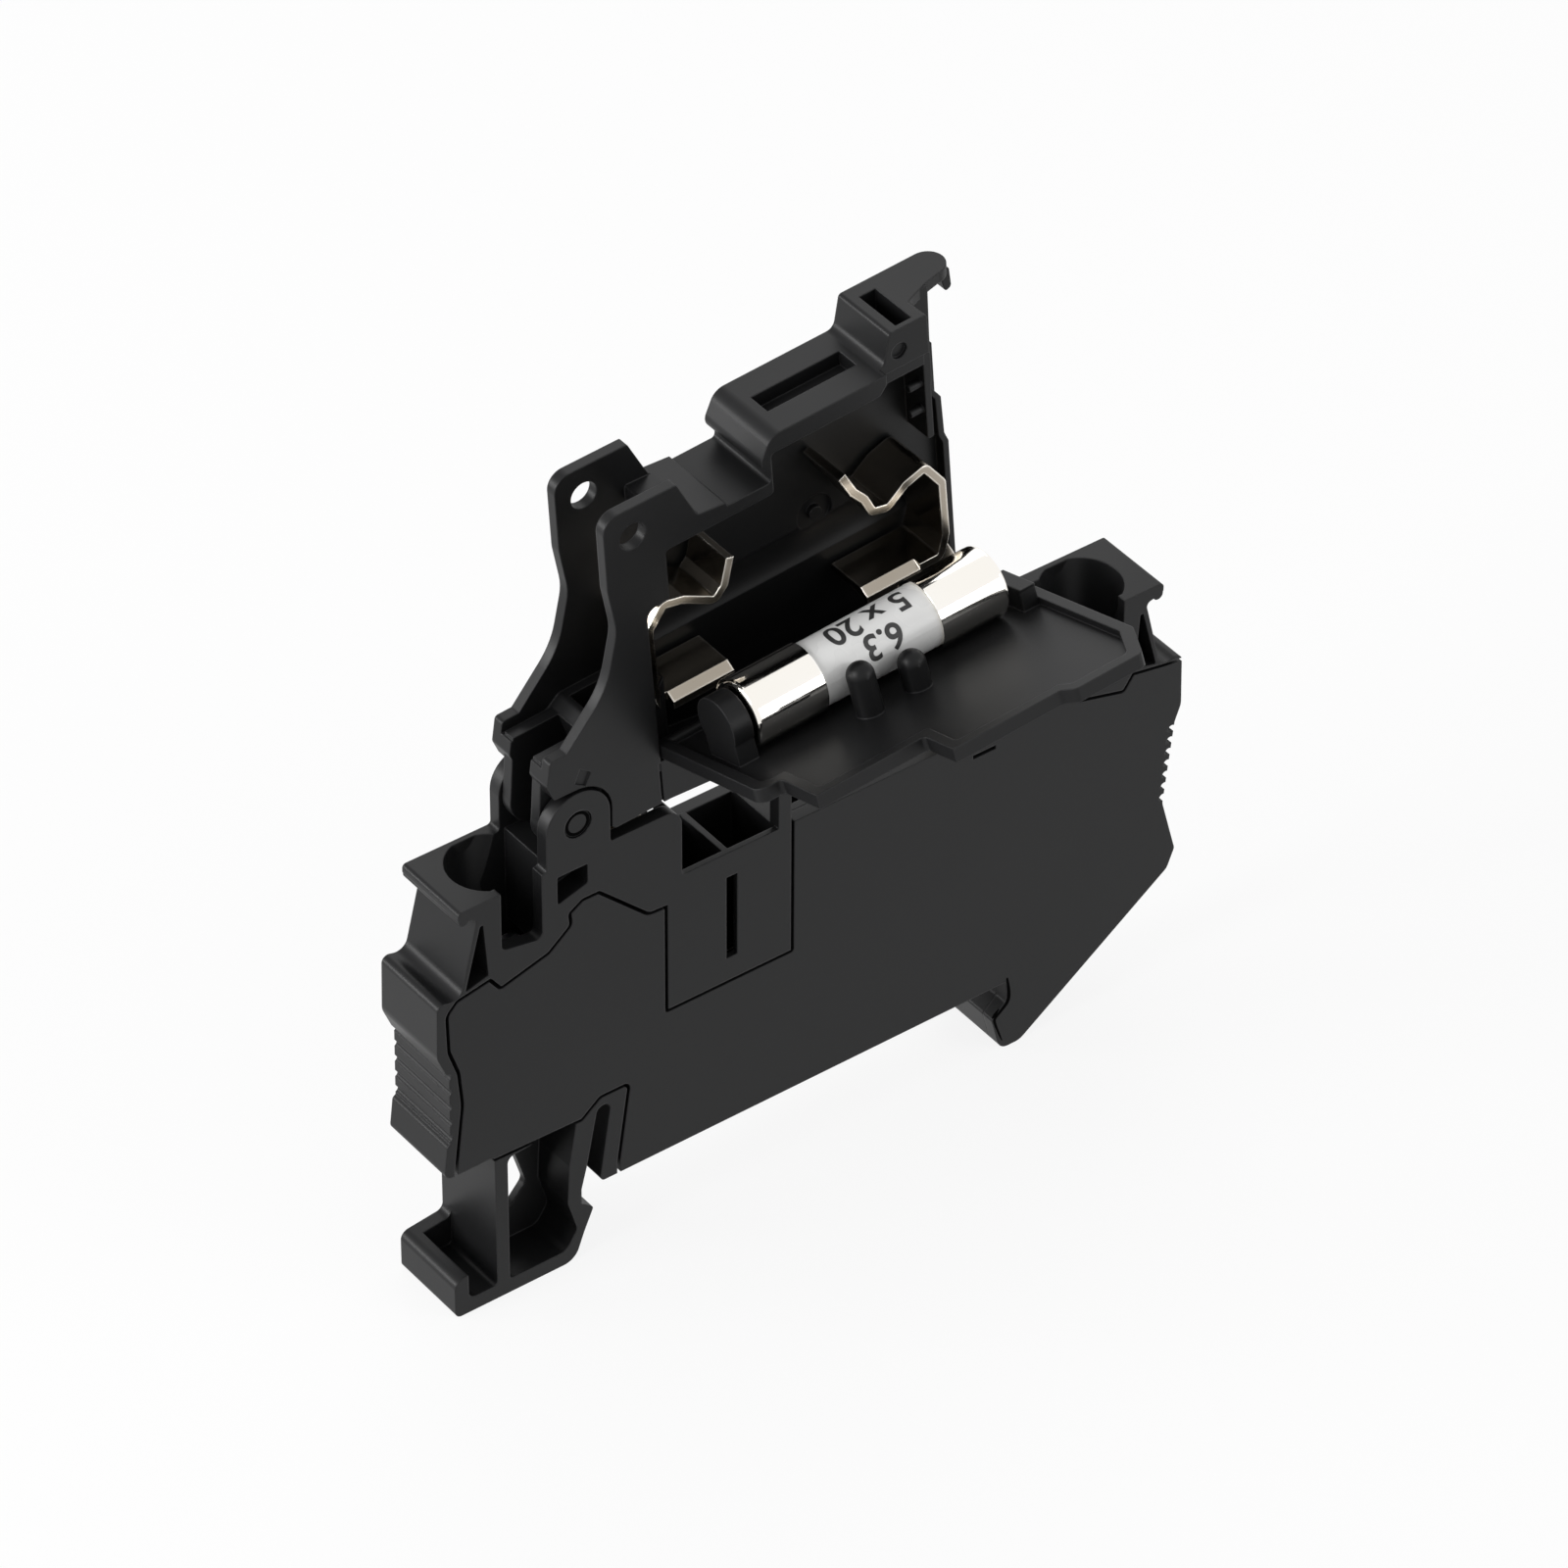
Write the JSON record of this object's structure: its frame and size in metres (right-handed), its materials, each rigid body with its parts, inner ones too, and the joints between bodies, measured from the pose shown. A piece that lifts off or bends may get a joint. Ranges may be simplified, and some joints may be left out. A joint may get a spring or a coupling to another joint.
{
  "type": "fuse terminal block",
  "caption": "Narrow rail-mounted terminal block with a swinging lever that carries a glass-sized fuse on a drop-down flap.",
  "frame": {"origin": "middle of the flat rail seat, half way through the block's thickness", "axes": "+X along the block towards its fixed rail hook, -Y towards the open face with the side cover, +Z away from the rail"},
  "size_m": [0.0609, 0.0248, 0.0648],
  "materials": {
    "dark_plastic": "moulded polyamide, fine satin",
    "plated_contact": "tin-plated copper alloy strip",
    "spring_steel": "bright spring steel",
    "fuse_ceramic": "plain white ceramic",
    "fuse_cap": "nickel-plated brass",
    "fuse_wire": "thin drawn wire"
  },
  "bodies": {
    "block": {"housing": "dark_plastic", "side_cover": "dark_plastic", "current_bar_left": "plated_contact", "current_bar_right": "plated_contact", "spring_cage_left": "spring_steel", "spring_cage_right": "spring_steel"},
    "lever": {"fuse_lever": "dark_plastic", "lever_contact_left": "plated_contact", "lever_contact_right": "plated_contact"},
    "flap": {"fuse_flap": "dark_plastic", "fuse_tube": "fuse_ceramic", "fuse_cap_left": "fuse_cap", "fuse_cap_right": "fuse_cap", "fuse_element": "fuse_wire"}
  },
  "joints": [
    {"name": "lever_swing", "type": "hinge", "parent": "block", "child": "lever", "pos_m": [-0.0175, 0, 0.03119], "axis": [0, -1, 0], "range_deg": [0, 90]},
    {"name": "flap_close", "type": "hinge", "parent": "lever", "child": "flap", "pos_m": [0.0025, -0.0025, 0.03471], "axis": [-0.9969, 0, -0.0785], "range_deg": [0, 72]}
  ]
}
